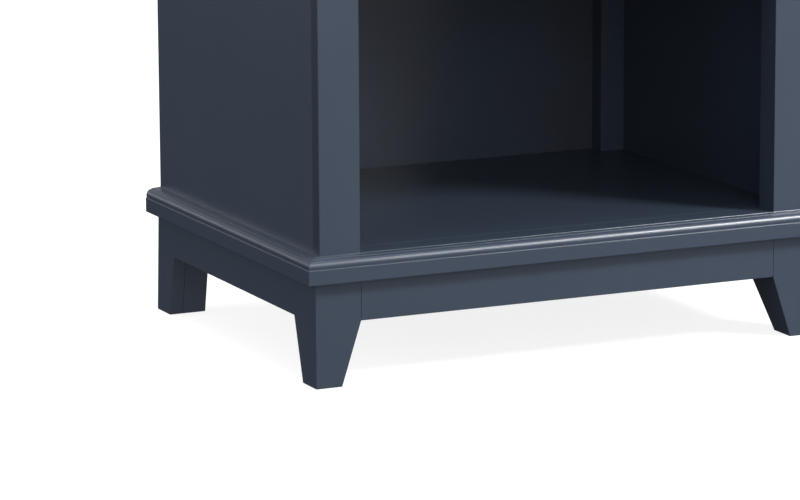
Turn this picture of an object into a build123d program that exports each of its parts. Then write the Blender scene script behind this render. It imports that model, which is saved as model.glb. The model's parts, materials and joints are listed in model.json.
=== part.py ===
"""Bathroom vanity cabinet: an open niche below one wide drawer, on a base with tapered feet.

X runs across the front, the front faces -Y, and Z is up. The origin is on the floor, at the
centre of the cabinet's outline. All sizes are in millimetres.
"""

import os
from math import sqrt

from build123d import *

# Overall sizes, measured from the outer faces of the feet
width = 740.0
height = 850.0
half = width / 2
carcass_depth = 546.0  # front face of the feet to the back of the carcass
toe_depth = 547.5  # the rear feet rake backwards a little further
knob_reach = 17.5  # how far the knobs stand out in front of the feet
front = knob_reach - (toe_depth + knob_reach) / 2  # Y of the front face of the feet
back = front + carcass_depth

# Base
base_top = 140.2
apron_bottom = 85.0
apron_thickness = 19.0
foot_top_width = 64.5
foot_bottom_width = 37.0
foot_top_depth = 69.4
foot_bottom_depth = 43.0
foot_block_depth = 41.8  # the side rail laps over the foot behind this line
rear_foot_width = 53.5
rear_foot_front_top = 485.0
rear_foot_front_toe = 502.0
rear_rake_top = 539.0

# Base moulding
moulding_reach = 15.6  # beyond the feet
moulding_top = 174.2
fascia_top = 160.2
bead_start = (1.3, 161.4)  # inwards from the fascia, and height
bead_end = (7.2, 172.6)
bead_bulge = 0.8
bead_quirk = 0.5

# Carcass
side_inset = 6.7  # side panels stand this far in from the feet
stile_setback = 1.3
post_width = 57.5
post_depth = 39.2
panel_seam = 21.9  # front edge of the side panels, from the face of the feet
panel_thickness = 13.5
rear_post_width = 37.0
rear_post_depth = 28.5
back_thickness = 3.0
rail_thickness = 20.0
floor_thickness = 16.0
niche_floor = 174.0
niche_top = 525.0
drawer_bay_bottom = 565.0
drawer_bay_top = 800.0
deck_thickness = 12.0
cleat_size = 18.0
rear_rail_height = 60.0
fixing_hole_height = 386.0
fixing_hole_radius = 2.5
fixing_hole_depth = 10.0

# Places that several pieces share
outer = half - side_inset  # |X| of the side panels' outer faces
inner = outer - panel_thickness  # |X| of the side panels' inner faces
opening = outer - post_width  # |X| of the front posts' inner faces
rear_opening = inner - rear_post_width
stile_face = front + stile_setback
post_back = stile_face + post_depth
back_face = back - back_thickness
rear_post_front = back_face - rear_post_depth

# Openings in the back and the fixings to the wall
service_half_width = 200.0
service_low = 600.0
service_high = 760.0
wall_hole_radius = 3.5
wall_hole_spacing = 400.0
wall_hole_height = 820.0

# Braces for the top
brace_leg = 70.0
brace_thickness = 14.0
brace_hole_radius = 2.5
brace_hole_inset = 22.0

# Drawer slides
slide_centre = 625.0
slide_length = 450.0
slide_thickness = 12.7
slide_start = post_back + 0.7
steel = 1.2
cabinet_member_half = 22.5
middle_member_half = 18.0
drawer_member_half = 13.5
flange_reach = 9.7
cage_thickness = 0.7
cage_half_width = 2.2
ball_radius = 1.3
ball_pitch = 20.0
balls_in_row = 9
slide_rail_height = 70.0

# Drawer
drawer_gap = 2.5
drawer_setback = 0.5
front_thickness = 20.0
front_frame_width = 52.0
front_panel_thickness = 6.0
front_panel_recess = 8.0
groove_depth = 8.0
box_wall = 12.0
box_bottom = 578.0
box_top = 678.0
box_depth = 440.0
bottom_thickness = 6.0
bottom_lift = 8.0
bottom_groove = 5.0
well_half_width = 95.0
well_start = 210.0  # from the box front to the well
box_half = opening - slide_thickness

# Knobs
knob_spacing = 340.0
knob_height = (drawer_bay_bottom + drawer_bay_top) / 2
knob_radius = 15.0
knob_rim = 19.0  # height of the widest part above the panel
knob_neck = 5.5
knob_neck_end = 12.0
knob_flare = 1.2
knob_foot = 8.5
knob_foot_height = 2.0
knob_bore_depth = 12.0
knob_screw_radius = 2.0

# Dowels and screws
dowel_radius = 4.0
dowel_length = 40.0
screw_radius = 1.75
screw_length = 12.0
head_radius = 3.4
head_height = 1.0
slide_screw_steps = (30.0, 190.0, 400.0)  # from the front end of a slide
box_screw_x = 267.0
box_screw_heights = (600.0, 655.0)

os.makedirs("parts", exist_ok=True)


def block(x, y, z, mode=Mode.ADD):
    """A box between three pairs of limits."""
    with Locations((sum(x) / 2, sum(y) / 2, sum(z) / 2)):
        Box(x[1] - x[0], y[1] - y[0], z[1] - z[0], mode=mode)


def save(name, part):
    """Label one finished piece and write it."""
    part.label = name
    export_step(part, f"parts/{name}.step")


def save_pair(name, part):
    """Write the left-hand piece, and its mirror image on the right."""
    save(name.format("left"), part)
    with BuildPart() as right:
        mirror(part, about=Plane.YZ)
    save(name.format("right"), right.part)


def across(y, z):
    """A plane at the given Y and Z whose normal runs along +X."""
    return Plane(origin=(0, y, z), x_dir=(0, 1, 0), z_dir=(1, 0, 0))


def facing_front(y):
    """A plane at the given Y, seen from the front: X to the right, Z up."""
    return Plane(origin=(0, y, 0), x_dir=(1, 0, 0), z_dir=(0, -1, 0))


def dowel_places(rail_middle_z, rail_middle_y, spread_z=0.0, spread_y=0.0):
    """The two dowels at each end of a rail, as points on the posts' inner faces."""
    return [
        (side * opening, rail_middle_y + step * spread_y, rail_middle_z + step * spread_z)
        for side in (-1, 1)
        for step in (-1, 1)
    ]


bottom_rail_low = base_top
front_rail_y = stile_face + rail_thickness / 2
all_dowels = (
    dowel_places((bottom_rail_low + niche_floor) / 2, (stile_face + post_back) / 2, spread_y=10.0)
    + dowel_places((niche_top + drawer_bay_bottom) / 2, front_rail_y, spread_z=11.0)
    + dowel_places((drawer_bay_top + height) / 2, front_rail_y, spread_z=14.0)
)


def dowels(mode):
    """Every dowel of the front frame, or the holes that take them."""
    with Locations(*[Location(place, (0, 90, 0)) for place in all_dowels]):
        Cylinder(dowel_radius, dowel_length, mode=mode)


# ---- Base ------------------------------------------------------------------------------------

with BuildPart() as front_foot:
    with BuildSketch(facing_front(front)):
        with BuildLine():
            Polyline(
                (-half, 0),
                (-half + foot_bottom_width, 0),
                (-half + foot_top_width, apron_bottom),
                (-half + foot_top_width, base_top),
                (-half, base_top),
                close=True,
            )
        make_face()
    extrude(amount=-foot_top_depth)
    with BuildSketch(across(front, 0)):
        with BuildLine():
            Polyline(
                (0, 0),
                (foot_bottom_depth, 0),
                (foot_top_depth, apron_bottom),
                (foot_top_depth, base_top),
                (0, base_top),
                close=True,
            )
        make_face()
    extrude(amount=width, both=True, mode=Mode.INTERSECT)
    block(
        (-half, -half + apron_thickness),
        (front + foot_block_depth, front + foot_top_depth),
        (0, base_top),
        mode=Mode.SUBTRACT,
    )
save_pair("front_{}_foot", front_foot.part)

with BuildPart() as side_rail:
    with BuildSketch(across(front, 0).offset(-half)):
        with BuildLine():
            Polyline(
                (foot_block_depth, base_top),
                (foot_block_depth, 0),
                (foot_bottom_depth, 0),
                (foot_top_depth, apron_bottom),
                (rear_foot_front_top, apron_bottom),
                (rear_foot_front_toe, 0),
                (toe_depth, 0),
                (rear_rake_top, base_top),
                close=True,
            )
        make_face()
    extrude(amount=apron_thickness)
save_pair("{}_base_rail", side_rail.part)

with BuildPart() as rear_foot:
    with BuildSketch(across(front, 0).offset(-half + apron_thickness)):
        with BuildLine():
            Polyline(
                (rear_foot_front_top, base_top),
                (rear_foot_front_top, apron_bottom),
                (rear_foot_front_toe, 0),
                (toe_depth, 0),
                (rear_rake_top, base_top),
                close=True,
            )
        make_face()
    extrude(amount=rear_foot_width - apron_thickness)
save_pair("rear_{}_foot", rear_foot.part)

foot_inner = half - foot_top_width
rear_foot_inner = half - rear_foot_width
rear_rail_front = front + rear_foot_front_top + 15.0
apron_height = (apron_bottom, base_top)

with BuildPart() as front_base_rail:
    block((-foot_inner, foot_inner), (front, front + apron_thickness), apron_height)
save("front_base_rail", front_base_rail.part)

with BuildPart() as rear_base_rail:
    rear_rail_depth = (rear_rail_front, rear_rail_front + apron_thickness)
    block((-rear_foot_inner, rear_foot_inner), rear_rail_depth, apron_height)
save("rear_base_rail", rear_base_rail.part)

# ---- Base moulding ---------------------------------------------------------------------------

moulding_depth = moulding_reach + side_inset
left_face = -half - moulding_reach
front_face = front - moulding_reach


def moulding_section(inwards, along):
    """The moulding's section at the front left corner, in a plane whose normal runs along it."""
    corner = Plane(origin=(left_face, front_face, 0), x_dir=inwards, z_dir=along)
    quirk = (bead_end[0] + bead_quirk, bead_end[1] + bead_quirk)
    with BuildSketch(corner) as section:
        with BuildLine():
            Polyline(bead_start, (bead_start[0], fascia_top), (0, fascia_top), (0, base_top))
            Polyline((0, base_top), (moulding_depth, base_top), (moulding_depth, moulding_top))
            Polyline((moulding_depth, moulding_top), quirk, (quirk[0], bead_end[1]), bead_end)
            SagittaArc(bead_end, bead_start, bead_bulge)
        make_face()
    return section.sketch


with BuildPart() as side_moulding:
    extrude(moulding_section((1, 0, 0), (0, -1, 0)), amount=-(back - front_face))
    with BuildSketch(Plane.XY):
        with BuildLine():
            Polyline(
                (left_face, front_face),
                (left_face + moulding_depth, front_face + moulding_depth),
                (left_face + moulding_depth, back),
                (left_face, back),
                close=True,
            )
        make_face()
    extrude(amount=height, mode=Mode.INTERSECT)
save_pair("base_moulding_{}", side_moulding.part)

with BuildPart() as front_moulding:
    extrude(moulding_section((0, 1, 0), (1, 0, 0)), amount=-2 * left_face)
    with BuildSketch(Plane.XY):
        with BuildLine():
            Polyline(
                (left_face, front_face),
                (left_face + moulding_depth, front_face + moulding_depth),
                (-left_face - moulding_depth, front_face + moulding_depth),
                (-left_face, front_face),
                close=True,
            )
        make_face()
    extrude(amount=height, mode=Mode.INTERSECT)
    block((-outer, outer), (stile_face, back), (0, height), mode=Mode.SUBTRACT)
save("base_moulding_front", front_moulding.part)

# ---- Carcass ---------------------------------------------------------------------------------

with BuildPart() as front_post:
    block((-outer, -opening), (stile_face, post_back), (base_top, height))
    block((-outer, -inner), (front + panel_seam, post_back), (base_top, height), Mode.SUBTRACT)
    dowels(Mode.SUBTRACT)
save_pair("front_{}_post", front_post.part)

with BuildPart() as rear_post:
    block((-inner, -rear_opening), (rear_post_front, back_face), (base_top, height))
    with Locations(
        Location(
            (
                -rear_opening - fixing_hole_depth / 2,
                (rear_post_front + back_face) / 2,
                fixing_hole_height,
            ),
            (0, 90, 0),
        )
    ):
        Cylinder(fixing_hole_radius, fixing_hole_depth, mode=Mode.SUBTRACT)
save_pair("rear_{}_post", rear_post.part)

with BuildPart() as side_panel:
    block((-outer, -inner), (front + panel_seam, back), (base_top, height))
save_pair("{}_side_panel", side_panel.part)

front_rails = {
    "front_bottom_rail": (post_back, bottom_rail_low, niche_floor),
    "middle_rail": (stile_face + rail_thickness, niche_top, drawer_bay_bottom),
    "front_top_rail": (stile_face + rail_thickness, drawer_bay_top, height),
}
for name, (rail_back, low, high) in front_rails.items():
    with BuildPart() as front_rail:
        block((-opening, opening), (stile_face, rail_back), (low, high))
        dowels(Mode.SUBTRACT)
    save(name, front_rail.part)

with BuildPart() as frame_dowels:
    dowels(Mode.ADD)
save("frame_dowels", frame_dowels.part)

with BuildPart() as bottom_panel:
    floor_z = (niche_floor - floor_thickness, niche_floor)
    block((-inner, inner), (post_back, rear_post_front), floor_z)
    block((-rear_opening, rear_opening), (rear_post_front, back_face), floor_z)
save("bottom_panel", bottom_panel.part)

with BuildPart() as bottom_cleat:
    cleat_z = (base_top, niche_floor - floor_thickness)
    block((-inner, -inner + cleat_size), (post_back, rear_post_front), cleat_z)
save_pair("{}_bottom_cleat", bottom_cleat.part)

with BuildPart() as drawer_deck:
    deck_z = (niche_top, niche_top + deck_thickness)
    block((-opening, opening), (stile_face + rail_thickness, post_back), deck_z)
    block((-inner, inner), (post_back, rear_post_front), deck_z)
    block((-rear_opening, rear_opening), (rear_post_front, back_face), deck_z)
save("drawer_deck", drawer_deck.part)

wall_holes = [
    Location((side * wall_hole_spacing / 2, back, wall_hole_height), (90, 0, 0)) for side in (-1, 1)
]

with BuildPart() as rear_top_rail:
    rail_y = (back_face - cleat_size, back_face)
    block((-rear_opening, rear_opening), rail_y, (height - rear_rail_height, height))
    with Locations(*wall_holes):
        Cylinder(wall_hole_radius, 3 * cleat_size, mode=Mode.SUBTRACT)
save("rear_top_rail", rear_top_rail.part)

with BuildPart() as back_panel:
    block((-inner, inner), (back_face, back), (base_top, height))
    block(
        (-service_half_width, service_half_width),
        (back_face, back),
        (service_low, service_high),
        mode=Mode.SUBTRACT,
    )
    with Locations(*wall_holes):
        Cylinder(wall_hole_radius, 3 * cleat_size, mode=Mode.SUBTRACT)
save("back_panel", back_panel.part)

# ---- Braces that hold the top ----------------------------------------------------------------

brace_corners = {"front": post_back, "rear": rear_post_front}
brace_holes_x = inner - brace_hole_inset
for end, corner_y in brace_corners.items():
    inwards = 1 if end == "front" else -1
    with BuildPart() as brace:
        with BuildSketch(Plane.XY.offset(height - brace_thickness)):
            with BuildLine():
                Polyline(
                    (-inner, corner_y),
                    (-inner + brace_leg, corner_y),
                    (-inner, corner_y + inwards * brace_leg),
                    close=True,
                )
            make_face()
            with Locations((-brace_holes_x, corner_y + inwards * brace_hole_inset)):
                Circle(brace_hole_radius, mode=Mode.SUBTRACT)
        extrude(amount=brace_thickness)
    save_pair(end + "_{}_brace", brace.part)

# ---- Drawer slides ---------------------------------------------------------------------------

slide_face = -opening  # the left-hand slide is screwed to this face
slide_y = (slide_start, slide_start + slide_length)


def channel(web_x, reach_x, half_height, y):
    """A rolled steel channel: its web, and a flange at the top and the bottom."""
    low, high = slide_centre - half_height, slide_centre + half_height
    block(web_x, y, (low, high))
    block(reach_x, y, (low, low + steel))
    block(reach_x, y, (high - steel, high))


def screw(place, direction, length=screw_length, radius=screw_radius, mode=Mode.ADD):
    """A pan-head screw whose head's underside is at `place`; it points along `direction`."""
    seat = Plane(origin=place, z_dir=direction)
    lower = (Align.CENTER, Align.CENTER, Align.MIN)
    upper = (Align.CENTER, Align.CENTER, Align.MAX)
    with Locations(seat):
        Cylinder(radius, length, align=lower, mode=mode)
        Cylinder(head_radius, head_height, align=upper, mode=mode)


def slide_screws(web, direction, mode=Mode.ADD):
    """The three screws that hold one member of the left-hand slide."""
    for step in slide_screw_steps:
        screw((web, slide_start + step, slide_centre), (direction, 0, 0), mode=mode)


with BuildPart() as slide_rail:
    rail_z = (slide_centre - slide_rail_height / 2, slide_centre + slide_rail_height / 2)
    block((-inner, -opening), (post_back, rear_post_front), rail_z)
    slide_screws(slide_face + steel, -1, Mode.SUBTRACT)
save_pair("{}_slide_rail", slide_rail.part)

with BuildPart() as cabinet_member:
    channel(
        (slide_face, slide_face + steel),
        (slide_face, slide_face + flange_reach),
        cabinet_member_half,
        slide_y,
    )
    slide_screws(slide_face + steel, -1, Mode.SUBTRACT)
save_pair("{}_slide_cabinet_member", cabinet_member.part)

with BuildPart() as cabinet_screws:
    slide_screws(slide_face + steel, -1)
    mirror(about=Plane.YZ)
save("cabinet_screws", cabinet_screws.part)

with BuildPart() as middle_member:
    middle_web = slide_face + steel + head_height + 0.6
    channel(
        (middle_web, middle_web + steel),
        (middle_web, slide_face + flange_reach),
        middle_member_half,
        (slide_y[0] + 2, slide_y[1] - 2),
    )
save_pair("{}_slide_middle_member", middle_member.part)

with BuildPart() as drawer_member:
    drawer_web = slide_face + slide_thickness
    channel(
        (drawer_web - steel, drawer_web),
        (middle_web + steel + 1.0, drawer_web),
        drawer_member_half,
        (slide_y[0], slide_y[1] - 4),
    )
    slide_screws(drawer_web - steel, 1, Mode.SUBTRACT)
save_pair("{}_slide_drawer_member", drawer_member.part)

outer_race = (cabinet_member_half - steel + middle_member_half) / 2
inner_race = (middle_member_half - steel + drawer_member_half) / 2
race_x = slide_face + 6.5
row_length = balls_in_row * ball_pitch
# the outer rows stay at the back of the slide and the inner rows at the front
race_rows = [
    (race, side, start)
    for race, start in ((outer_race, slide_y[1] - 6 - row_length), (inner_race, slide_y[0] + 6))
    for side in (-1, 1)
]

with BuildPart() as ball_cages:
    for race, side, start in race_rows:
        race_z = slide_centre + side * race
        block(
            (race_x - cage_half_width, race_x + cage_half_width),
            (start, start + row_length),
            (race_z - cage_thickness / 2, race_z + cage_thickness / 2),
        )
        with Locations((race_x, start + row_length / 2, race_z)):
            with GridLocations(1, ball_pitch, 1, balls_in_row):
                Sphere(ball_radius)
save_pair("{}_slide_ball_cages", ball_cages.part)

# ---- Drawer ----------------------------------------------------------------------------------

front_half = opening - drawer_gap
front_low = drawer_bay_bottom + drawer_gap
front_high = drawer_bay_top - drawer_gap
drawer_face = stile_face + drawer_setback
drawer_back_face = drawer_face + front_thickness
panel_front = drawer_face + front_panel_recess
panel_y = (panel_front, panel_front + front_panel_thickness)
panel_half = front_half - front_frame_width + groove_depth
panel_z = (front_low + front_frame_width - groove_depth, front_high - front_frame_width + groove_depth)
frame_y = (drawer_face, drawer_back_face)
knob_length = panel_front - (front - knob_reach)
crown_rise = knob_length - knob_rim
crown_radius = (knob_radius**2 + crown_rise**2) / (2 * crown_rise)
crown_middle = knob_length - crown_radius + sqrt(crown_radius**2 - knob_radius**2 / 4)


def box_screws(mode=Mode.ADD):
    """The screws through the box front into the stiles of the drawer's front."""
    for side in (-1, 1):
        for z in box_screw_heights:
            place = (side * box_screw_x, drawer_back_face + box_wall, z)
            screw(place, (0, -1, 0), length=box_wall + screw_length, mode=mode)


def knob_screws(mode=Mode.ADD):
    """The screws through the panel into the knobs."""
    length = front_panel_thickness + knob_bore_depth
    for side in (-1, 1):
        place = (side * knob_spacing / 2, panel_y[1], knob_height)
        screw(place, (0, -1, 0), length, knob_screw_radius, mode)


for side, word in ((-1, "left"), (1, "right")):
    knob_place = (side * knob_spacing / 2, panel_front, knob_height)
    with BuildPart() as knob:
        with BuildSketch(Plane(origin=knob_place, x_dir=(1, 0, 0), z_dir=(0, 0, -1))):
            with BuildLine():
                rim = (knob_radius, knob_rim)
                neck_end = (knob_neck, knob_neck_end)
                step = (knob_foot, knob_foot_height)
                Polyline((0, knob_length), (0, 0), (knob_foot, 0), step)
                Polyline(step, (knob_neck, 2.5 * knob_foot_height), neck_end)
                SagittaArc(neck_end, rim, -knob_flare)
                ThreePointArc(rim, (knob_radius / 2, crown_middle), (0, knob_length))
            make_face()
        revolve(axis=Axis(knob_place, (0, -1, 0)))
        knob_screws(Mode.SUBTRACT)
    save(f"drawer_knob_{word}", knob.part)

with BuildPart() as front_panel:
    block((-panel_half, panel_half), panel_y, panel_z)
    knob_screws(Mode.SUBTRACT)
save("drawer_front_panel", front_panel.part)

with BuildPart() as front_stile:
    block((-front_half, -front_half + front_frame_width), frame_y, (front_low, front_high))
    block((-panel_half, panel_half), panel_y, panel_z, mode=Mode.SUBTRACT)
    box_screws(Mode.SUBTRACT)
save_pair("drawer_front_{}_stile", front_stile.part)

rail_half = front_half - front_frame_width
drawer_rails = {
    "drawer_front_bottom_rail": (front_low, front_low + front_frame_width),
    "drawer_front_top_rail": (front_high - front_frame_width, front_high),
}
for name, rail_z in drawer_rails.items():
    with BuildPart() as drawer_rail:
        block((-rail_half, rail_half), frame_y, rail_z)
        block((-panel_half, panel_half), panel_y, panel_z, mode=Mode.SUBTRACT)
    save(name, drawer_rail.part)

box_z = (box_bottom, box_top)
box_front = drawer_back_face
box_back = box_front + box_depth
box_inner = box_half - box_wall
well_front = box_front + well_start
sheet_z = (box_bottom + bottom_lift, box_bottom + bottom_lift + bottom_thickness)


def drawer_sheet(mode=Mode.SUBTRACT):
    """The drawer's bottom, cut away round the drain, or the grooves that hold it."""
    edge = box_inner + bottom_groove
    block((-edge, edge), (box_front + box_wall - bottom_groove, well_front + bottom_groove), sheet_z, mode)
    for side in (-1, 1):
        reach = sorted((side * edge, side * (well_half_width + box_wall - bottom_groove)))
        block(reach, (well_front, box_back - box_wall + bottom_groove), sheet_z, mode)


with BuildPart() as drawer_bottom:
    drawer_sheet(Mode.ADD)
save("drawer_bottom", drawer_bottom.part)

with BuildPart() as box_front_board:
    block((-box_inner, box_inner), (box_front, box_front + box_wall), box_z)
    drawer_sheet()
    box_screws(Mode.SUBTRACT)
save("drawer_box_front", box_front_board.part)

with BuildPart() as box_side:
    block((-box_half, -box_inner), (box_front, box_back), box_z)
    drawer_sheet()
    slide_screws(drawer_web - steel, 1, Mode.SUBTRACT)
save_pair("drawer_{}_side", box_side.part)

with BuildPart() as box_back_board:
    block((-box_inner, -well_half_width), (box_back - box_wall, box_back), box_z)
    drawer_sheet()
save_pair("drawer_{}_back", box_back_board.part)

with BuildPart() as well_side:
    well_wall = (-well_half_width - box_wall, -well_half_width)
    block(well_wall, (well_front + box_wall, box_back - box_wall), box_z)
    drawer_sheet()
save_pair("drawer_{}_well_side", well_side.part)

with BuildPart() as well_front_board:
    well_half = well_half_width + box_wall
    block((-well_half, well_half), (well_front, well_front + box_wall), box_z)
    drawer_sheet()
save("drawer_well_front", well_front_board.part)

with BuildPart() as drawer_screws:
    slide_screws(drawer_web - steel, 1)
    mirror(about=Plane.YZ)
    box_screws()
    knob_screws()
save("drawer_screws", drawer_screws.part)
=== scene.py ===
import json
from math import ceil, cos, pi, radians, sin, tan

import bmesh
import bpy
from mathutils import Matrix, Vector

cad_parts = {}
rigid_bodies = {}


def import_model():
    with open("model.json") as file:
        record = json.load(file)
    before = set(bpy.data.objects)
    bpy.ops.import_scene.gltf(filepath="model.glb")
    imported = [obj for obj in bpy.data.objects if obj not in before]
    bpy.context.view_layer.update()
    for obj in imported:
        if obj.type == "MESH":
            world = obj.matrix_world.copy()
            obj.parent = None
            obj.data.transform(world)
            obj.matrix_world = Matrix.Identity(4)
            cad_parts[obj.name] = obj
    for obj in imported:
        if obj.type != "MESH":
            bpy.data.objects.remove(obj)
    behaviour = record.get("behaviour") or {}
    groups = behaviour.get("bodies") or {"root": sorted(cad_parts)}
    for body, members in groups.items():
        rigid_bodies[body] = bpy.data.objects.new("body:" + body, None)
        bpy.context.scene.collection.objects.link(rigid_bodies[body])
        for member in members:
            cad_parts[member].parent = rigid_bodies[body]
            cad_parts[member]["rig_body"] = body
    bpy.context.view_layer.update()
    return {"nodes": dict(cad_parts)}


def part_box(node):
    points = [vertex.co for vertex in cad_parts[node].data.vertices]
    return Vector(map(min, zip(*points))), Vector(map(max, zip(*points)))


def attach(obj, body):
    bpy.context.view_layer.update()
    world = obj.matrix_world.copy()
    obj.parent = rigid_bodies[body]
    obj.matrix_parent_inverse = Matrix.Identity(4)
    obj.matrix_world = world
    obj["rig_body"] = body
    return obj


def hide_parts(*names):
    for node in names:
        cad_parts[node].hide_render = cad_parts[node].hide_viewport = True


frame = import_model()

print("frame loaded:", len(frame["nodes"]), "nodes")

mm = 0.001


class Wire:
    def __init__(self, tree, socket=None):
        self.tree = tree
        self.socket = socket

    def make(self, kind, settings=None, inputs=None, output=0):
        node = self.tree.nodes.new(kind)
        for name, value in (settings or {}).items():
            if name == "stops":
                elements = node.color_ramp.elements
                while len(elements) < len(value):
                    elements.new(1)
                for element, (place, colour) in zip(elements, value):
                    element.position = place
                    element.color = (*colour, 1)
            else:
                setattr(node, name, value)
        for name, value in (inputs or {}).items():
            for single in value if isinstance(value, list) else [value]:
                if isinstance(single, Wire):
                    self.tree.links.new(single.socket, node.inputs[name])
                else:
                    node.inputs[name].default_value = single
        return Wire(self.tree, node.outputs[output] if len(node.outputs) else None)

    def maths(self, operation, first, second=0.0):
        return self.make("ShaderNodeMath", {"operation": operation}, {0: first, 1: second})

    def __add__(self, other):
        return self.maths("ADD", self, other)

    def __radd__(self, other):
        return self.maths("ADD", other, self)

    def __sub__(self, other):
        return self.maths("SUBTRACT", self, other)

    def __rsub__(self, other):
        return self.maths("SUBTRACT", other, self)

    def __mul__(self, other):
        return self.maths("MULTIPLY", self, other)

    def __rmul__(self, other):
        return self.maths("MULTIPLY", other, self)

    def __truediv__(self, other):
        return self.maths("DIVIDE", self, other)

    def __rtruediv__(self, other):
        return self.maths("DIVIDE", other, self)


def startShader(name):
    material = bpy.data.materials.new(name)
    material.use_nodes = True
    material.node_tree.nodes.clear()
    wires = Wire(material.node_tree)
    return material, wires, wires.make("ShaderNodeTexCoord", output="Object")


def finishShader(material, wires, settings):
    surface = wires.make("ShaderNodeBsdfPrincipled", inputs=settings)
    wires.make("ShaderNodeOutputMaterial", inputs={"Surface": surface})
    return material


def stretched(wires, place, grain, along, acrossGrain):
    scale = tuple(along if axis == grain else acrossGrain for axis in "XYZ")
    return wires.make("ShaderNodeMapping", inputs={"Vector": place, "Scale": scale})


def noise(wires, place, scale, detail=2.0, roughness=0.5):
    inputs = {"Vector": place, "Scale": scale, "Detail": detail, "Roughness": roughness}
    return wires.make("ShaderNodeTexNoise", inputs=inputs)


def blended(wires, factor, first, second):
    inputs = {0: factor, 6: first, 7: second}
    return wires.make("ShaderNodeMix", {"data_type": "RGBA"}, inputs, 2)


def clamped(wires, value, low, high):
    inputs = {"Value": value, "From Min": low, "From Max": high}
    return wires.make("ShaderNodeMapRange", {"clamp": True}, inputs)


def bumped(wires, height, depth, normal=None):
    inputs = {"Strength": 1.0, "Distance": depth, "Height": height}
    if normal:
        inputs["Normal"] = normal
    return wires.make("ShaderNodeBump", inputs=inputs)


# finishes

paint = {
    "colour": (0.0300, 0.0425, 0.0650, 1),
    "thin": (0.0325, 0.0455, 0.0685, 1),
    "inside": (0.0300, 0.0345, 0.0480, 1),  # the back panel's coat is thinner and greyer
    "flankShade": (0.0200, 0.0280, 0.0420, 1),  # painted shade: the front posts' outer side faces, darkened as if in shade
    "roughness": 0.30,
    "roughnessSwing": 0.06,
    "clouds": 5.0,
    "cloudRange": (0.35, 0.7),
    "patches": 38.0,
    "orangePeel": 330.0,  # ripples per metre
    "peelDepth": 0.012 * mm,
    "grainDepth": 0.010 * mm,
    "grainAcross": 520.0,
    "grainAlong": 14.0,
    "specular": 0.4,
}


def slatePaint(name, grain, tone="colour", shadeFlankFrom=None):
    material, wires, place = startShader(name)
    peel = noise(wires, place, paint["orangePeel"], 1.5)
    fibres = stretched(wires, place, grain, paint["grainAlong"], paint["grainAcross"])
    grainLines = noise(wires, fibres, 1.0, 3.0, 0.6)
    clouds = noise(wires, place, paint["clouds"], 3.0)
    colour = blended(wires, clamped(wires, clouds, *paint["cloudRange"]), paint[tone], paint["thin"])
    # painted shade: faces beyond the given distance across X take a darker colour that stands in for
    # shade
    if shadeFlankFrom:
        across = wires.make("ShaderNodeSeparateXYZ", inputs={0: place}, output="X")
        flankShade = wires.maths("GREATER_THAN", wires.maths("ABSOLUTE", across), shadeFlankFrom)
        colour = blended(wires, flankShade, colour, paint["flankShade"])
    patches = noise(wires, place, paint["patches"], 4.0, 0.6)
    roughness = paint["roughness"] + (patches - 0.5) * paint["roughnessSwing"]
    ripples = bumped(wires, peel, paint["peelDepth"])
    normal = bumped(wires, grainLines, paint["grainDepth"], normal=ripples)
    return finishShader(material, wires, {
        "Base Color": colour,
        "Roughness": roughness,
        "Normal": normal,
        "Specular IOR Level": paint["specular"],
    })


birch = {
    "light": (0.640, 0.470, 0.290, 1),
    "dark": (0.470, 0.310, 0.165, 1),
    "core": (0.300, 0.180, 0.090, 1),
    "roughness": 0.42,
    "grainAlong": 7.0,
    "grainAcross": 70.0,
    "figure": (0.36, 0.64),  # how sharply light and dark grain part
    "poreDepth": 0.03 * mm,
    "plies": 9,
    "skin": 0.2,  # share of the outer plies that stays face veneer
    "glue": 0.16,
    "crossShade": 0.55,
    "glueShade": 0.35,
    "lacquer": 0.15,
    "lacquerRoughness": 0.3,
}


def woodGrain(wires, place, grain, along, acrossGrain):
    fibres = stretched(wires, place, grain, along, acrossGrain)
    wander = noise(wires, fibres, 1.0, 4.0, 0.55)
    pores = noise(wires, stretched(wires, place, grain, along * 3, acrossGrain * 9), 1.0, 3.0, 0.6)
    return wander, pores


def birchPly(name, grain, through, low, thickness):
    material, wires, place = startShader(name)
    wander, pores = woodGrain(wires, place, grain, birch["grainAlong"], birch["grainAcross"])
    face = blended(wires, clamped(wires, wander, *birch["figure"]), birch["light"], birch["dark"])
    depth = wires.make("ShaderNodeSeparateXYZ", inputs={0: place}, output=through)
    ply = (depth - low) / (thickness / birch["plies"])
    turn = wires.maths("FRACT", ply * 0.5)
    crossPly = wires.maths("GREATER_THAN", turn, 0.5)
    seam = wires.maths("LESS_THAN", wires.maths("FRACT", ply), birch["glue"])
    pastSkin = wires.maths("GREATER_THAN", ply, birch["skin"])
    inside = pastSkin * wires.maths("LESS_THAN", ply, birch["plies"] - birch["skin"])
    shade = inside * (crossPly * birch["crossShade"] + seam * birch["glueShade"])
    colour = blended(wires, shade, face, birch["core"])
    roughness = birch["roughness"] + (pores - 0.5) * 0.12 + shade * 0.15
    normal = bumped(wires, pores + wander * 0.6, birch["poreDepth"])
    return finishShader(material, wires, {
        "Base Color": colour, "Roughness": roughness, "Normal": normal,
        "Coat Weight": birch["lacquer"], "Coat Roughness": birch["lacquerRoughness"],
    })


bareWood = {
    "grainAlong": 4.0, "grainAcross": 45.0, "ringWander": 1.6, "ringShare": 0.7, "poreShare": 0.25,
    "poreDepth": 0.05 * mm, "roughness": 0.55, "roughnessSwing": 0.15,
}


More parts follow.
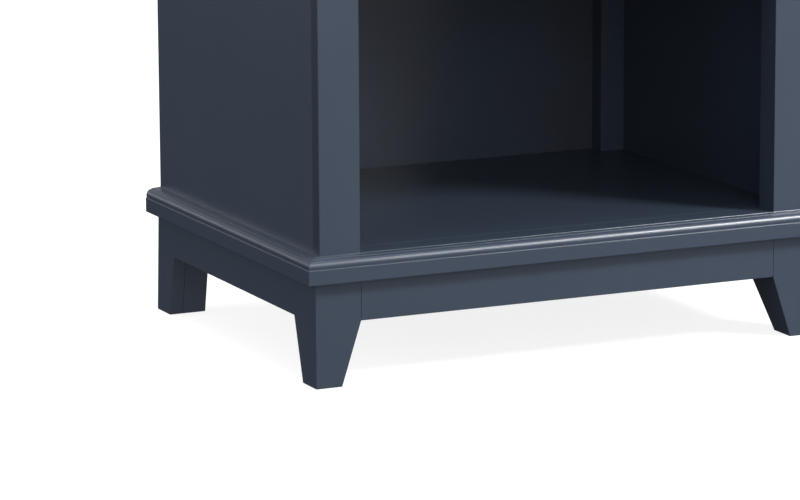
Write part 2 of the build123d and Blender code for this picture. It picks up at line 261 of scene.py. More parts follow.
def plainWood(name, grain, light, dark, ringWidth):
    material, wires, place = startShader(name)
    wander, pores = woodGrain(wires, place, grain, bareWood["grainAlong"], bareWood["grainAcross"])
    rings = wires.make("ShaderNodeSeparateXYZ", inputs={0: place}, output="Z" if grain != "Z" else "X")
    stripe = wires.maths("FRACT", rings / ringWidth + wander * bareWood["ringWander"])
    darkness = stripe * bareWood["ringShare"] + pores * bareWood["poreShare"]
    colour = blended(wires, darkness, (*light, 1), (*dark, 1))
    roughness = bareWood["roughness"] + pores * bareWood["roughnessSwing"]
    normal = bumped(wires, pores - stripe * 0.3, bareWood["poreDepth"])
    return finishShader(material, wires, {"Base Color": colour, "Roughness": roughness, "Normal": normal})


zinc = {
    "streakAlong": 12.0, "streakAcross": 900.0, "streakDepth": 0.004 * mm, "streakSwing": 0.18,
    "spangle": 240.0, "spangleRange": (0.3, 0.7), "spangleSwing": 0.1, "dull": 0.82,
}


def rolledSteel(name, tone, roughness, grain):
    material, wires, place = startShader(name)
    rolled = stretched(wires, place, grain, zinc["streakAlong"], zinc["streakAcross"])
    streaks = noise(wires, rolled, 1.0, 3.0, 0.6)
    spangle = noise(wires, place, zinc["spangle"], 2.0, 0.5)
    dull = [zinc["dull"] * part for part in tone]
    colour = blended(wires, clamped(wires, spangle, *zinc["spangleRange"]), (*tone, 1), (*dull, 1))
    rough = roughness + (streaks - 0.5) * zinc["streakSwing"] + (spangle - 0.5) * zinc["spangleSwing"]
    normal = bumped(wires, streaks, zinc["streakDepth"])
    return finishShader(material, wires, {
        "Base Color": colour, "Roughness": rough, "Normal": normal, "Metallic": 1.0,
    })


nickel = {
    "bright": (0.60, 0.57, 0.52, 1), "warm": (0.50, 0.475, 0.435, 1), "tint": 60.0,
    "brush": 2600.0, "brushDepth": 0.003 * mm, "roughness": 0.26, "roughnessSwing": 0.14,
}


def brushedNickel(name, centre):
    material, wires, place = startShader(name)
    local = wires.make("ShaderNodeVectorMath", {"operation": "SUBTRACT"}, {0: place, 1: centre})
    parts = [wires.make("ShaderNodeSeparateXYZ", inputs={0: local}, output=axis) for axis in "XYZ"]
    radius = wires.maths("SQRT", parts[0] * parts[0] + parts[2] * parts[2])
    rings = wires.make("ShaderNodeCombineXYZ", inputs={
        "X": radius * nickel["brush"], "Y": parts[1] * nickel["brush"],
    })
    brush = noise(wires, rings, 1.0, 3.0, 0.65)
    colour = blended(wires, noise(wires, local, nickel["tint"], 3.0), nickel["bright"], nickel["warm"])
    return finishShader(material, wires, {
        "Base Color": colour, "Metallic": 1.0,
        "Roughness": nickel["roughness"] + (brush - 0.5) * nickel["roughnessSwing"],
        "Normal": bumped(wires, brush, nickel["brushDepth"]),
    })


slate = {
    "X": slatePaint("slate satin across", "X"),
    "Y": slatePaint("slate satin front to back", "Y"),
    "Z": slatePaint("slate satin upright", "Z"),
}
slateInside = slatePaint("slate satin inside", "Z", "inside")
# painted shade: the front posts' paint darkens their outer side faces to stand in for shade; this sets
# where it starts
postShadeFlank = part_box("front_right_post")[1].x - 0.8 * mm  # takes in the rounded arris
slatePostShaded = slatePaint("slate satin post painted shade", "Z", shadeFlankFrom=postShadeFlank)
print("paint mixed")


# helpers that every piece uses

def linked(name, mesh):
    piece = bpy.data.objects.new(name, mesh)
    bpy.context.scene.collection.objects.link(piece)
    return piece


def plain(piece):
    graph = bpy.context.evaluated_depsgraph_get()
    mesh = bpy.data.meshes.new_from_object(piece.evaluated_get(graph))
    name = piece.name
    bpy.data.objects.remove(piece)
    mesh.name = name
    return linked(name, mesh)


def installed(piece, node, material):
    if material:
        piece.data.materials.clear()
        piece.data.materials.append(material)
    body = frame["nodes"][node]["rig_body"]
    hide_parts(node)
    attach(piece, body)
    return piece


def shaded(mesh, angle):
    mesh.polygons.foreach_set("use_smooth", [True] * len(mesh.polygons))
    mesh.set_sharp_from_angle(angle=radians(angle))


def levelled(piece):
    weighted = piece.modifiers.new("flat faces", "WEIGHTED_NORMAL")
    weighted.keep_sharp = True
    return plain(piece)


easing = {"merge": 0.002 * mm, "flat": 1.0, "corner": 30.0, "segments": 3}  # angles in degrees


def eased(node, suffix, width):
    source = frame["nodes"][node].data
    mesh = bpy.data.meshes.new(node)
    mesh.from_pydata([v.co[:] for v in source.vertices], [], [p.vertices[:] for p in source.polygons])
    form = bmesh.new()
    form.from_mesh(mesh)
    bmesh.ops.remove_doubles(form, verts=form.verts, dist=easing["merge"])
    flat = radians(easing["flat"])
    bmesh.ops.dissolve_limit(form, angle_limit=flat, verts=form.verts, edges=form.edges)
    form.to_mesh(mesh)
    form.free()
    mesh.polygons.foreach_set("use_smooth", [True] * len(mesh.polygons))
    piece = linked(node + suffix, mesh)
    bevel = piece.modifiers.new("arris", "BEVEL")
    bevel.width = width
    bevel.segments = easing["segments"]
    bevel.limit_method = "ANGLE"
    bevel.angle_limit = radians(easing["corner"])
    bevel.use_clamp_overlap = False
    return levelled(piece)


# painted boards: the frame's solids with eased arrises

boards = {
    "arris": 0.45 * mm,
    "footArris": 0.9 * mm,
    "floorArris": 1.0 * mm,  # the niche floor and the rail in front of it
    "upright": [
        "front_left_foot", "front_right_foot", "rear_left_foot", "rear_right_foot",
        "front_left_post", "front_right_post", "rear_left_post", "rear_right_post",
        "left_side_panel", "right_side_panel", "drawer_front_left_stile", "drawer_front_right_stile",
    ],
    "across": [
        "front_base_rail", "rear_base_rail", "bottom_panel", "front_bottom_rail", "middle_rail",
        "front_top_rail", "rear_top_rail", "drawer_deck", "drawer_front_top_rail",
        "drawer_front_bottom_rail", "drawer_front_panel", "front_left_brace", "front_right_brace",
        "rear_left_brace", "rear_right_brace",
    ],
    "deep": ["left_base_rail", "right_base_rail", "left_bottom_cleat", "right_bottom_cleat"],
}


def arrisOf(node):
    if "bottom" in node and "drawer" not in node:
        return boards["floorArris"]
    return boards["footArris"] if "foot" in node or "base" in node else boards["arris"]


for group, axis in (("upright", "Z"), ("across", "X"), ("deep", "Y")):
    for node in boards[group]:
        # the front posts take the paint with painted shade on their outer side faces
        coat = slatePostShaded if node in ("front_left_post", "front_right_post") else slate[axis]
        installed(eased(node, "_painted", arrisOf(node)), node, coat)
installed(eased("back_panel", "_painted", boards["arris"]), "back_panel", slateInside)
print("painted boards:", sum(len(boards[group]) for group in ("upright", "across", "deep")) + 1)


# a section swept along a straight line, with mitred ends and a notch where something crosses it

def newTree(name, sockets):
    tree = bpy.data.node_groups.new(name, "GeometryNodeTree")
    tree.interface.new_socket("Geometry", in_out="INPUT", socket_type="NodeSocketGeometry")
    for label, kind in sockets.items():
        tree.interface.new_socket(label, in_out="INPUT", socket_type="NodeSocket" + kind)
    tree.interface.new_socket("Geometry", in_out="OUTPUT", socket_type="NodeSocketGeometry")
    entry = tree.nodes.new("NodeGroupInput")
    return Wire(tree), {socket.name: Wire(tree, socket) for socket in entry.outputs if socket.name}


def closeTree(wires, geometry, material):
    whole = wires.make("GeometryNodeRealizeInstances", inputs={"Geometry": geometry})
    coated = wires.make("GeometryNodeSetMaterial", inputs={"Geometry": whole, "Material": material})
    outlet = wires.tree.nodes.new("NodeGroupOutput")
    wires.tree.links.new(coated.socket, outlet.inputs["Geometry"])
    return wires.tree


def grown(name, mesh, tree, values):
    holder = linked(name, mesh)
    modifier = holder.modifiers.new("make", "NODES")
    modifier.node_group = tree
    for socket in tree.interface.items_tree:
        if socket.in_out == "INPUT" and socket.name in values:
            modifier[socket.identifier] = values[socket.name]
    return plain(holder)


def vectorMaths(wires, operation, first, second=(0, 0, 0), output="Vector"):
    return wires.make("ShaderNodeVectorMath", {"operation": operation}, {0: first, 1: second}, output)


def scaledVector(wires, vector, amount):
    return wires.make("ShaderNodeVectorMath", {"operation": "SCALE"}, {0: vector, "Scale": amount})


def sweepTree():
    wires, given = newTree("section sweep", {
        "Start": "Vector", "End": "Vector", "Start Mitre": "Float", "End Mitre": "Float",
        "Notch Size": "Vector", "Notch Centre": "Vector", "Material": "Material",
    })
    section = wires.make("GeometryNodeMeshToCurve", inputs={"Mesh": given["Geometry"]})
    line = wires.make("GeometryNodeCurvePrimitiveLine", {"mode": "POINTS"}, {
        "Start": given["Start"], "End": given["End"],
    })
    upright = wires.make("GeometryNodeSetCurveNormal", {"mode": "Z_UP"}, {"Curve": line})
    swept = wires.make("GeometryNodeCurveToMesh", inputs={
        "Curve": upright, "Profile Curve": section, "Fill Caps": True,
    })
    whole = vectorMaths(wires, "SUBTRACT", given["End"], given["Start"])
    length = vectorMaths(wires, "LENGTH", whole, output="Value")
    run = vectorMaths(wires, "NORMALIZE", whole)
    inwards = vectorMaths(wires, "CROSS_PRODUCT", run, (0, 0, 1))
    fromStart = vectorMaths(wires, "SUBTRACT", wires.make("GeometryNodeInputPosition"), given["Start"])
    depth = vectorMaths(wires, "DOT_PRODUCT", fromStart, inwards, "Value")
    share = vectorMaths(wires, "DOT_PRODUCT", fromStart, run, "Value") / length
    slide = depth * (given["Start Mitre"] * (1 - share) - given["End Mitre"] * share)
    mitred = wires.make("GeometryNodeSetPosition", inputs={
        "Geometry": swept, "Offset": scaledVector(wires, run, slide),
    })
    cutter = wires.make("GeometryNodeMeshCube", inputs={"Size": given["Notch Size"]})
    placedCutter = wires.make("GeometryNodeTransform", inputs={
        "Geometry": cutter, "Translation": given["Notch Centre"],
    })
    notched = wires.make("GeometryNodeMeshBoolean", {"operation": "DIFFERENCE", "solver": "EXACT"}, {
        "Mesh 1": mitred, "Mesh 2": placedCutter,
    })
    return closeTree(wires, notched, given["Material"])


def outline(corners, segments=8):
    points = []
    for index, (x, z, radius) in enumerate(corners):
        here = Vector((x, z))
        back = (Vector(corners[index - 1][:2]) - here).normalized()
        onwards = (Vector(corners[(index + 1) % len(corners)][:2]) - here).normalized()
        half = back.angle(onwards) / 2
        if radius <= 0 or half > radians(89.5):
            points.append(here)
            continue
        reach = radius / tan(half)
        centre = here + (back + onwards).normalized() * (radius / sin(half))
        first = here + back * reach - centre
        last = here + onwards * reach - centre
        turn = first.angle_signed(last)
        steps = max(2, ceil(segments * abs(turn) / (pi / 2)))
        for step in range(steps + 1):
            points.append(centre + Matrix.Rotation(-turn * step / steps, 2) @ first)
    mesh = bpy.data.meshes.new("section")
    vertices = [(point.x * mm, -point.y * mm, 0) for point in points]
    count = len(vertices)
    mesh.from_pydata(vertices, [(index, (index + 1) % count) for index in range(count)], [])
    return mesh


sweep = sweepTree()
sweepCrease = 32  # degrees; sharper edges of a section stay crisp
noNotch = (mm, mm, mm), (0, 0, -1)  # a speck far below the floor


def sweptPiece(name, corners, start, end, material, mitres=(0.0, 0.0), notch=None):
    size, centre = notch or noNotch
    piece = grown(name, outline(corners), sweep, {
        "Start": start, "End": end, "Start Mitre": mitres[0], "End Mitre": mitres[1],
        "Notch Size": size, "Notch Centre": centre, "Material": material,
    })
    shaded(piece.data, sweepCrease)
    return levelled(piece)


# base moulding

moulding = {
    "fascia": 20.0,
    "hollow": 1.3,
    "beadLow": 20.9,
    "beadHigh": (8.4, 31.8),
    "beadTurn": 47.0,  # degrees that the bead turns each side of its middle
    "quirk": 0.8,
    "depth": 22.3,
    "height": 34.0,
    "lip": (0.25, 0.4),  # paint line where the top meets the carcass
    "arris": 0.9,
    "apart": 0.001,  # keeps two corners of the section from falling together
    "fullness": 0.96,  # share of the bead's full arc, so that its ends stay corners
}


def mouldingCorners(seat):
    hollow, high, arris = moulding["hollow"], moulding["beadHigh"], moulding["arris"]
    low = (hollow, moulding["beadLow"])
    chord = Vector(high) - Vector(low)
    outwards = Vector((-chord.y, chord.x)).normalized()
    turn = radians(moulding["beadTurn"])
    swell = (Vector(low) + Vector(high)) / 2 + outwards * chord.length / 2 * tan(turn)
    beadRadius = moulding["fullness"] * chord.length / 2 / sin(turn)
    quirk = moulding["quirk"]
    lipDepth, lipHeight = moulding["lip"]
    return [
        (0, 0, arris),
        (0, moulding["fascia"], arris),
        (hollow, moulding["fascia"], 0.25),
        (*low, 0.3),
        (*swell, beadRadius),
        (*high, 0.2),
        (high[0] + quirk, high[1], 0.1),
        (high[0] + quirk, high[1] + quirk, 0.6),
        (seat - lipDepth, moulding["height"] - lipHeight, 0.1),
        (seat, moulding["height"], 0),
        (moulding["depth"] + moulding["apart"], moulding["height"], 0),
        (moulding["depth"], 0, 0),
    ]


sideLow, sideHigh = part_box("base_moulding_left")
frontLow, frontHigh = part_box("base_moulding_front")
bottom = sideLow.z
leftX, rightX, frontY, backY = frontLow.x, frontHigh.x, frontLow.y, sideHigh.y
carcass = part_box("front_left_post")[0]
notchDepth = 0.1
notch = (
    (-2 * carcass.x, notchDepth, 2 * moulding["height"] * mm),
    (0, carcass.y + notchDepth / 2, bottom + moulding["height"] * mm / 2),
)
runs = {
    "left": ((leftX, frontY, bottom), (leftX, backY, bottom), (1.0, 0.0), None, "Y"),
    "right": ((rightX, backY, bottom), (rightX, frontY, bottom), (0.0, 1.0), None, "Y"),
    "front": ((rightX, frontY, bottom), (leftX, frontY, bottom), (1.0, 1.0), notch, "X"),
}
seats = {"left": moulding["depth"], "right": moulding["depth"], "front": (carcass.y - frontY) / mm}
for side, (start, end, mitres, cut, axis) in runs.items():
    node = "base_moulding_" + side
    corners = mouldingCorners(seats[side])
    piece = sweptPiece(node + "_run", corners, start, end, slate[axis], mitres, cut)
    installed(piece, node, None)
print("base moulding swept")


# drawer slides

slide = {"steel": 1.2, "bend": 2.0, "lip": 0.35, "tone": (0.60, 0.61, 0.62), "roughness": 0.30}
slideSteel = rolledSteel("zinc plated steel", slide["tone"], slide["roughness"], "Y")


def channelCorners(reach, half):
    steel, bend, lip = slide["steel"], slide["bend"], slide["lip"]
    inside = bend - steel
    return [
        (0, -half, bend), (0, half, bend), (reach, half, lip), (reach, half - steel, lip),
        (steel, half - steel, inside), (steel, -half + steel, inside), (reach, -half + steel, lip),
        (reach, -half, lip),
    ]


for side in ("left", "right"):
    for member in ("cabinet", "middle", "drawer"):
        node = f"{side}_slide_{member}_member"
        low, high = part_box(node)
        middle = (low.z + high.z) / 2
        webLow = (side == "left") == (member != "drawer")
        start, end = (low.x, low.y, middle), (low.x, high.y, middle)
        if not webLow:
            start, end = (high.x, high.y, middle), (high.x, low.y, middle)
        size = (high.x - low.x) / mm, (high.z - low.z) / 2 / mm
        piece = sweptPiece(node + "_rolled", channelCorners(*size), start, end, slideSteel)
        installed(piece, node, None)
print("slide members swept")


# balls in their cages

cages = {
    "pitch": 20.0 * mm, "ball": 1.3 * mm, "strip": 0.7 * mm, "half": 2.2 * mm, "count": 9, "crease": 40,
}
ballSteel = rolledSteel("polished steel", (0.66, 0.66, 0.67), 0.12, "Y")


def cageTree():
    wires, given = newTree("ball cage", {
        "Pitch": "Float", "Count": "Int", "Ball Radius": "Float", "Strip Thickness": "Float",
        "Strip Width": "Float", "Material": "Material",
    })
    step = wires.make("ShaderNodeCombineXYZ", inputs={"Y": given["Pitch"]})
    first = wires.make("ShaderNodeCombineXYZ", inputs={"Y": given["Pitch"] * 0.5})
    row = wires.make("GeometryNodeMeshLine", inputs={
        "Count": given["Count"], "Start Location": first, "Offset": step,
    })
    ball = wires.make("GeometryNodeMeshIcoSphere", inputs={
        "Radius": given["Ball Radius"], "Subdivisions": 3,
    })
    balls = wires.make("GeometryNodeInstanceOnPoints", inputs={"Points": row, "Instance": ball})
    length = given["Pitch"] * given["Count"]
    size = wires.make("ShaderNodeCombineXYZ", inputs={
        "X": given["Strip Width"], "Y": length, "Z": given["Strip Thickness"],
    })
    strip = wires.make("GeometryNodeMeshCube", inputs={"Size": size})
    middle = wires.make("ShaderNodeCombineXYZ", inputs={"Y": length * 0.5})
    placedStrip = wires.make("GeometryNodeTransform", inputs={"Geometry": strip, "Translation": middle})
    cage = wires.make("GeometryNodeJoinGeometry", inputs={"Geometry": [balls, placedStrip]})
    rows = wires.make("GeometryNodeInstanceOnPoints", inputs={
        "Points": given["Geometry"], "Instance": cage,
    })
    return closeTree(wires, rows, given["Material"])


cageNodes = cageTree()
for side in ("left", "right"):
    node = side + "_slide_ball_cages"
    low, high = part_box(node)
    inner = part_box(f"{side}_slide_drawer_member")
    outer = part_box(f"{side}_slide_middle_member")
    length = cages["pitch"] * cages["count"]
    centre = (low.z + high.z) / 2
    outerReach = high.z - centre - cages["ball"]
    innerReach = ((outer[1].z - outer[0].z) / 2 - slide["steel"] * mm + (inner[1].z - inner[0].z) / 2) / 2
    rows = bpy.data.meshes.new("rows")
    x = (low.x + high.x) / 2
    rows.from_pydata([
        (x, start, centre + hand * reach)
        for start, reach in ((high.y - length, outerReach), (low.y, innerReach))
        for hand in (-1, 1)
    ], [], [])
    piece = grown(node + "_strips", rows, cageNodes, {
        "Pitch": cages["pitch"], "Count": cages["count"], "Ball Radius": cages["ball"],
        "Strip Thickness": cages["strip"], "Strip Width": 2 * cages["half"], "Material": ballSteel,
    })
    shaded(piece.data, cages["crease"])
    installed(piece, node, None)
print("ball cages made")


# screws

screws = {
    "head": 3.4 * mm, "headHeight": 1.0 * mm, "shank": 1.75 * mm, "slideLength": 12.0 * mm,
    "slideSteps": (30.0 * mm, 190.0 * mm, 400.0 * mm), "boxX": 267.0 * mm,
    "boxHeights": (600.0 * mm, 655.0 * mm), "boxLength": 24.0 * mm,
    "knobLength": 18.0 * mm, "recess": 0.55, "crease": 35,
}
screwSteel = rolledSteel("screw zinc", (0.56, 0.56, 0.55), 0.28, "Z")


def screwTree():
    wires, given = newTree("pan head screws", {
        "Head Radius": "Float", "Head Height": "Float", "Shank Radius": "Float", "Recess": "Float",
        "Material": "Material",
    })
    ball = wires.make("GeometryNodeMeshUVSphere", inputs={"Segments": 28, "Rings": 12, "Radius": 1.0})
    spot = wires.make("GeometryNodeInputPosition")
    parts = {axis: wires.make("ShaderNodeSeparateXYZ", inputs={0: spot}, output=axis) for axis in "XYZ"}
    dome = wires.make("ShaderNodeCombineXYZ", inputs={
        "X": parts["X"] * given["Head Radius"], "Y": parts["Y"] * given["Head Radius"],
        "Z": wires.maths("MINIMUM", parts["Z"], 0.0) * given["Head Height"],
    })
    head = wires.make("GeometryNodeSetPosition", inputs={"Geometry": ball, "Position": dome})
    slotLength = given["Head Radius"] * given["Recess"] * 2.0
    slotWidth = given["Head Radius"] * 0.2
    bars = []
    for x, y in ((slotLength, slotWidth), (slotWidth, slotLength)):
        size = wires.make("ShaderNodeCombineXYZ", inputs={"X": x, "Y": y, "Z": given["Head Height"]})
        bars.append(wires.make("GeometryNodeMeshCube", inputs={"Size": size}))
    cross = wires.make("GeometryNodeJoinGeometry", inputs={"Geometry": bars})
    lift = wires.make("ShaderNodeCombineXYZ", inputs={"Z": given["Head Height"] * -0.85})
    driven = wires.make("GeometryNodeTransform", inputs={"Geometry": cross, "Translation": lift})
    cut = wires.make("GeometryNodeMeshBoolean", {"operation": "DIFFERENCE", "solver": "EXACT"}, {
        "Mesh 1": head, "Mesh 2": driven, "Self Intersection": True,
    })
    aim = wires.make("GeometryNodeInputNamedAttribute", {"data_type": "FLOAT_VECTOR"}, {"Name": "aim"})
    turn = wires.make("FunctionNodeAlignRotationToVector", {"axis": "Z"}, {"Vector": aim})
    shank = wires.make("GeometryNodeMeshCone", inputs={
        "Vertices": 16, "Radius Top": given["Shank Radius"] * 0.6, "Radius Bottom": given["Shank Radius"],
        "Depth": 1.0,
    })
    reach = wires.make("GeometryNodeInputNamedAttribute", {"data_type": "FLOAT"}, {"Name": "reach"})
    stretch = wires.make("ShaderNodeCombineXYZ", inputs={"X": 1.0, "Y": 1.0, "Z": reach})
    placedHeads = wires.make("GeometryNodeInstanceOnPoints", inputs={
        "Points": given["Geometry"], "Instance": cut, "Rotation": turn,
    })
    placedShanks = wires.make("GeometryNodeInstanceOnPoints", inputs={
        "Points": given["Geometry"], "Instance": shank, "Rotation": turn, "Scale": stretch,
    })
    both = wires.make("GeometryNodeJoinGeometry", inputs={"Geometry": [placedHeads, placedShanks]})
    return closeTree(wires, both, given["Material"])


screwNodes = screwTree()


def screwSet(node, rows):
    mesh = bpy.data.meshes.new("places")
    mesh.from_pydata([row[0] for row in rows], [], [])
    aims = mesh.attributes.new("aim", "FLOAT_VECTOR", "POINT")
    aims.data.foreach_set("vector", [part for row in rows for part in row[1]])
    reaches = mesh.attributes.new("reach", "FLOAT", "POINT")
    reaches.data.foreach_set("value", [row[2] for row in rows])
    piece = grown(node + "_pan_heads", mesh, screwNodes, {
        "Head Radius": screws["head"], "Head Height": screws["headHeight"],
        "Shank Radius": screws["shank"], "Recess": screws["recess"], "Material": screwSteel,
    })
    shaded(piece.data, screws["crease"])
    return installed(piece, node, None)


def slideRows(member, towards):
    rows = []
    for side, hand in (("left", -1), ("right", 1)):
        low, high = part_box(f"{side}_slide_{member}_member")
        webX = low.x if hand * towards < 0 else high.x
        under = webX - hand * towards * slide["steel"] * mm
        for step in screws["slideSteps"]:
            spot = (under, low.y + step, (low.z + high.z) / 2)
            rows.append((spot, (hand * towards, 0, 0), screws["slideLength"]))
    return rows


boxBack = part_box("drawer_box_front")[1].y
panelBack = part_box("drawer_front_panel")[1].y
drawerRows = slideRows("drawer", -1)
for hand in (-1, 1):
    for z in screws["boxHeights"]:
        drawerRows.append(((hand * screws["boxX"], boxBack, z), (0, -1, 0), screws["boxLength"]))
for side in ("left", "right"):
    low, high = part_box("drawer_knob_" + side)
    middle = (low + high) / 2
    drawerRows.append(((middle.x, panelBack, middle.z), (0, -1, 0), screws["knobLength"]))
screwSet("cabinet_screws", slideRows("cabinet", 1))
screwSet("drawer_screws", drawerRows)
print("screws set")


# dowels of the front frame

dowel = {
    "radius": 4.0 * mm, "length": 40.0 * mm, "flutes": 14, "fluteDepth": 0.06, "chamfer": 0.15,
    "spreadY": 10.0 * mm, "spreadMiddle": 11.0 * mm, "spreadTop": 14.0 * mm, "crease": 50,
}
dowelBeech = plainWood("beech", "X", (0.60, 0.42, 0.27), (0.46, 0.29, 0.16), 3.0 * mm)


def dowelTree():
    wires, given = newTree("fluted dowels", {
        "Radius": "Float", "Length": "Float", "Flutes": "Float", "Flute Depth": "Float",
        "Chamfer": "Float", "Material": "Material",
    })
    circle = wires.make("GeometryNodeCurvePrimitiveCircle", inputs={"Resolution": 84, "Radius": 1.0})
    around = wires.make("GeometryNodeSplineParameter")
    wave = wires.maths("COSINE", around * given["Flutes"] * (2 * pi))
    size = 1 - given["Flute Depth"] * (0.5 + wave * 0.5)
    spot = wires.make("GeometryNodeInputPosition")
    ring = wires.make("GeometryNodeSetPosition", inputs={
        "Geometry": circle, "Position": scaledVector(wires, spot, size),
    })
    half = wires.make("ShaderNodeCombineXYZ", inputs={"X": given["Length"] * 0.5})
    back = wires.make("ShaderNodeCombineXYZ", inputs={"X": given["Length"] * -0.5})
    line = wires.make("GeometryNodeCurvePrimitiveLine", {"mode": "POINTS"}, {"Start": back, "End": half})
    path = wires.make("GeometryNodeResampleCurve", inputs={"Curve": line, "Count": 21})
    along = wires.make("GeometryNodeSplineParameter")
    fromEnd = 0.5 - wires.maths("ABSOLUTE", along - 0.5)
    taper = 1 - given["Chamfer"] * (1 - wires.maths("MINIMUM", fromEnd * 20.0, 1.0))
    body = wires.make("GeometryNodeCurveToMesh", inputs={
        "Curve": path, "Profile Curve": ring, "Scale": taper * given["Radius"], "Fill Caps": True,
    })
    pegs = wires.make("GeometryNodeInstanceOnPoints", inputs={
        "Points": given["Geometry"], "Instance": body,
    })
    return closeTree(wires, pegs, given["Material"])


def dowelPlaces():
    spots = []
    postLow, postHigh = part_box("front_left_post")
    for node, spreadY, spreadZ in (
        ("front_bottom_rail", dowel["spreadY"], 0.0), ("middle_rail", 0.0, dowel["spreadMiddle"]),
        ("front_top_rail", 0.0, dowel["spreadTop"]),
    ):
        low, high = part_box(node)
        middleY = (postLow.y + postHigh.y) / 2 if spreadY else (low.y + high.y) / 2
        middleZ = (low.z + high.z) / 2
        for hand in (-1, 1):
            for step in (-1, 1):
                spots.append((hand * postHigh.x, middleY + step * spreadY, middleZ + step * spreadZ))
    return spots


pegPlaces = bpy.data.meshes.new("pegs")
pegPlaces.from_pydata(dowelPlaces(), [], [])
pegs = grown("frame_dowels_fluted", pegPlaces, dowelTree(), {
    "Radius": dowel["radius"], "Length": dowel["length"], "Flutes": float(dowel["flutes"]),
    "Flute Depth": dowel["fluteDepth"], "Chamfer": dowel["chamfer"], "Material": dowelBeech,
})
shaded(pegs.data, dowel["crease"])
installed(pegs, "frame_dowels", None)
print("dowels made")


# drawer box and the packers behind its slides

drawerBoards = {
    "drawer_box_front": ("X", "Y"), "drawer_left_side": ("Y", "X"), "drawer_right_side": ("Y", "X"),
    "drawer_left_back": ("X", "Y"), "drawer_right_back": ("X", "Y"),
    "drawer_left_well_side": ("Y", "X"), "drawer_right_well_side": ("Y", "X"),
    "drawer_well_front": ("X", "Y"), "drawer_bottom": ("X", "Z"),
}
plyArris, pineArris = 0.5 * mm, 0.8 * mm
for node, (grain, through) in drawerBoards.items():
    low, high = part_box(node)
    index = "XYZ".index(through)
    wood = birchPly("birch ply " + node, grain, through, low[index], high[index] - low[index])
    installed(eased(node, "_ply", plyArris), node, wood)
pine = plainWood("planed pine", "Y", (0.66, 0.47, 0.27), (0.50, 0.31, 0.15), 6.0 * mm)
for side in ("left", "right"):
    installed(eased(side + "_slide_rail", "_planed", pineArris), side + "_slide_rail", pine)
print("drawer box built")


# knobs

knob = {  # radii and heights in millimetres, from the face that sits on the drawer
    "segments": 96, "foot": (8.5, 2.0), "footEase": 0.4, "coveTop": 5.0, "coveInset": 0.9,
    "neck": 5.5, "neckEnd": 12.0, "rim": (15.0, 19.0), "rimRadius": 0.8, "flare": 0.5,
    "steps": 8, "crownSteps": 14, "crease": 40,
}


def knobProfile(length):
    footRadius, footHeight = knob["foot"]
    rimRadius, rimHeight = knob["rim"]
    neck, ease, rimEase = knob["neck"], knob["footEase"], knob["rimRadius"]
    points = [(0, 0), (footRadius, 0), (footRadius, footHeight - ease), (footRadius - ease, footHeight)]
    for step in range(1, knob["steps"] + 1):  # cove from the foot into the neck
        turn = step / knob["steps"] * pi / 2
        points.append((
            neck + (footRadius - knob["coveInset"] - neck) * (1 - sin(turn)),
            footHeight + (knob["coveTop"] - footHeight) * (1 - cos(turn)),
        ))
    points.append((neck, knob["neckEnd"]))
    underside = rimHeight - rimEase - knob["neckEnd"]
    for step in range(1, knob["steps"]):
        share = step / knob["steps"]
        height = knob["neckEnd"] + underside * share + knob["flare"] * sin(pi * share)
        points.append((neck + (rimRadius - neck) * share, height))
    points.append((rimRadius - 0.15, rimHeight - 0.7 * rimEase))  # the rim's rounded edge
    points.append((rimRadius, rimHeight - 0.35 * rimEase))
    points.append((rimRadius - 0.05, rimHeight))
    rise = length - rimHeight
    crown = (rimRadius**2 + rise**2) / (2 * rise)
    for step in range(1, knob["crownSteps"] + 1):
        radius = (rimRadius - 0.2) * (1 - step / knob["crownSteps"])
        points.append((radius, length - crown + (crown**2 - radius**2) ** 0.5))
    return points


def turnedKnob(node):
    low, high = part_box(node)
    middle = (low + high) / 2
    profile = knobProfile((high.y - low.y) / mm)
    form = bmesh.new()
    rings = []
    for radius, height in profile:
        count = knob["segments"] if radius > 1e-6 else 1
        rings.append([
            form.verts.new((
                middle.x + radius * mm * cos(2 * pi * index / knob["segments"]),
                high.y - height * mm,
                middle.z + radius * mm * sin(2 * pi * index / knob["segments"]),
            ))
            for index in range(count)
        ])
    for lower, upper in zip(rings, rings[1:]):
        for index in range(knob["segments"]):
            onwards = (index + 1) % knob["segments"]
            around = [lower[index % len(lower)], lower[onwards % len(lower)],
                      upper[onwards % len(upper)], upper[index % len(upper)]]
            form.faces.new(list(dict.fromkeys(around)))
    bmesh.ops.recalc_face_normals(form, faces=form.faces)
    mesh = bpy.data.meshes.new(node)
    form.to_mesh(mesh)
    form.free()
    shaded(mesh, knob["crease"])
    piece = linked(node + "_turned", mesh)
    return installed(piece, node, brushedNickel("brushed nickel " + node, tuple(middle)))


for side in ("left", "right"):
    turnedKnob("drawer_knob_" + side)
print("knobs turned")


# floor, light and camera

studio = {
    "floor": (0.30, 0.30, 0.305, 1), "floorFar": (0.29, 0.29, 0.295, 1), "floorSize": 30.0,
    "floorGlow": 0.84,
    "skyFront": 0.72, "skyBack": 0.45, "groundFront": 0.34, "groundBack": 0.05,
    "horizon": 0.15, "frontToBack": 0.4,  # how softly sky meets ground and front meets back
}

floorMesh = bpy.data.meshes.new("floor")
half = studio["floorSize"] / 2
corners = [(-half, -half, 0), (half, -half, 0), (half, half, 0), (-half, half, 0)]
floorMesh.from_pydata(corners, [], [(0, 1, 2, 3)])
floor = linked("floor", floorMesh)
material, wires, spot = startShader("pale studio floor")
floorMesh.materials.append(finishShader(material, wires, {
    "Base Color": blended(wires, noise(wires, spot, 3.0), studio["floor"], studio["floorFar"]),
    "Roughness": 0.8, "Specular IOR Level": 0.0,
    "Emission Color": (1, 1, 1, 1), "Emission Strength": studio["floorGlow"],
}))
floor.visible_glossy = False
floor.visible_diffuse = False

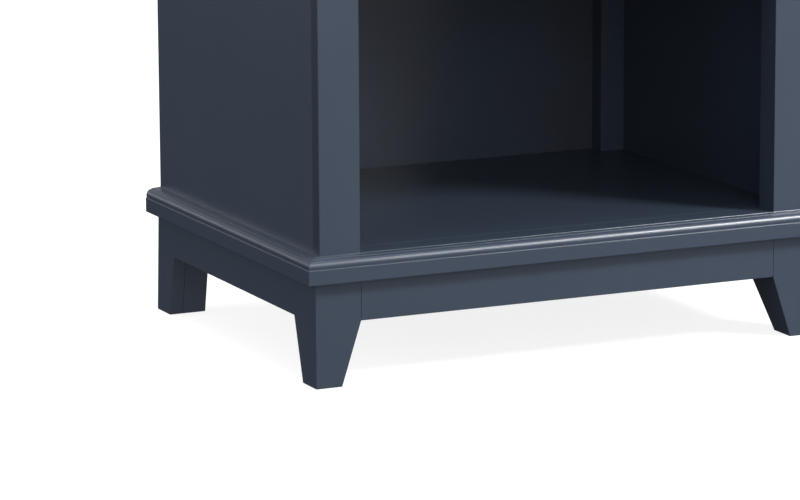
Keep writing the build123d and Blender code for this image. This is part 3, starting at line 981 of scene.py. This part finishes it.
world = bpy.data.worlds.new("studio")
bpy.context.scene.world = world
world.use_nodes = True
world.node_tree.nodes.clear()
wires = Wire(world.node_tree)
direction = wires.make("ShaderNodeTexCoord", output="Generated")
rise = wires.make("ShaderNodeSeparateXYZ", inputs={0: direction}, output="Z")
depth = wires.make("ShaderNodeSeparateXYZ", inputs={0: direction}, output="Y")
upwards = clamped(wires, rise, -studio["horizon"], studio["horizon"])
backwards = clamped(wires, depth, -studio["frontToBack"], studio["frontToBack"])
ground = studio["groundFront"] + backwards * (studio["groundBack"] - studio["groundFront"])
sky = studio["skyFront"] + backwards * (studio["skyBack"] - studio["skyFront"])
glow = ground + upwards * (sky - ground)
backdrop = wires.make("ShaderNodeBackground", inputs={"Color": (1, 1, 1, 1), "Strength": glow})
wires.make("ShaderNodeOutputWorld", inputs={"Surface": backdrop})

lights = {
    "key": {"towards": (0.55, -0.60, 0.58), "distance": 4.0, "size": (0.8, 0.8), "power": 165.0},
    "front": {"towards": (-0.15, -0.95, 0.25), "distance": 4.5, "size": (3.0, 2.0), "power": 46.0},
    "low": {"towards": (0.55, -0.83, -0.02), "distance": 4.0, "size": (1.6, 0.4), "power": 24.0},
    "left": {"towards": (-0.96, 0.10, 0.25), "distance": 4.0, "size": (2.5, 2.0), "power": 62.0},
    "top": {"towards": (0.0, 0.1, 1.0), "distance": 4.0, "size": (3.0, 3.0), "power": 140.0},
    "rim": {"towards": (-0.47, 0.88, 0.12), "distance": 4.0, "size": (1.6, 0.4), "power": 4.0},
    "glint": {"towards": (0.62, -0.79, 0.43), "distance": 6.0, "size": (2.4, 0.7), "power": 200.0},
}
aim = Vector((0, 0, 0.3))
for name, light in lights.items():
    data = bpy.data.lights.new(name, "AREA")
    data.shape = "RECTANGLE"
    data.size, data.size_y = light["size"]
    data.energy = light["power"]
    lamp = bpy.data.objects.new(name, data)
    towards = Vector(light["towards"]).normalized()
    lamp.location = aim + towards * light["distance"]
    lamp.rotation_euler = towards.to_track_quat("Z", "Y").to_euler()
    lamp.visible_diffuse = name != "glint"  # seen only in the gloss
    lamp.visible_glossy = name != "low"  # fills the niche and leaves no shine on the fronts
    bpy.context.scene.collection.objects.link(lamp)

view = {
    "place": (-2.565, -5.2322, 1.2943), "yaw": 24.989, "down": 11.563, "roll": -0.32, "lens": 194.73,
}
cameraData = bpy.data.cameras.new("camera")
cameraData.lens = view["lens"]
cameraData.sensor_width = 36.0
cameraData.clip_end = 100.0
camera = bpy.data.objects.new("camera", cameraData)
camera.matrix_world = (
    Matrix.Translation(view["place"])
    @ Matrix.Rotation(radians(-view["yaw"]), 4, "Z")
    @ Matrix.Rotation(radians(90 - view["down"]), 4, "X")
    @ Matrix.Rotation(radians(view["roll"]), 4, "Z")
)
bpy.context.scene.collection.objects.link(camera)
bpy.context.scene.camera = camera
bpy.context.scene.view_settings.view_transform = "Standard"
print("studio lit")
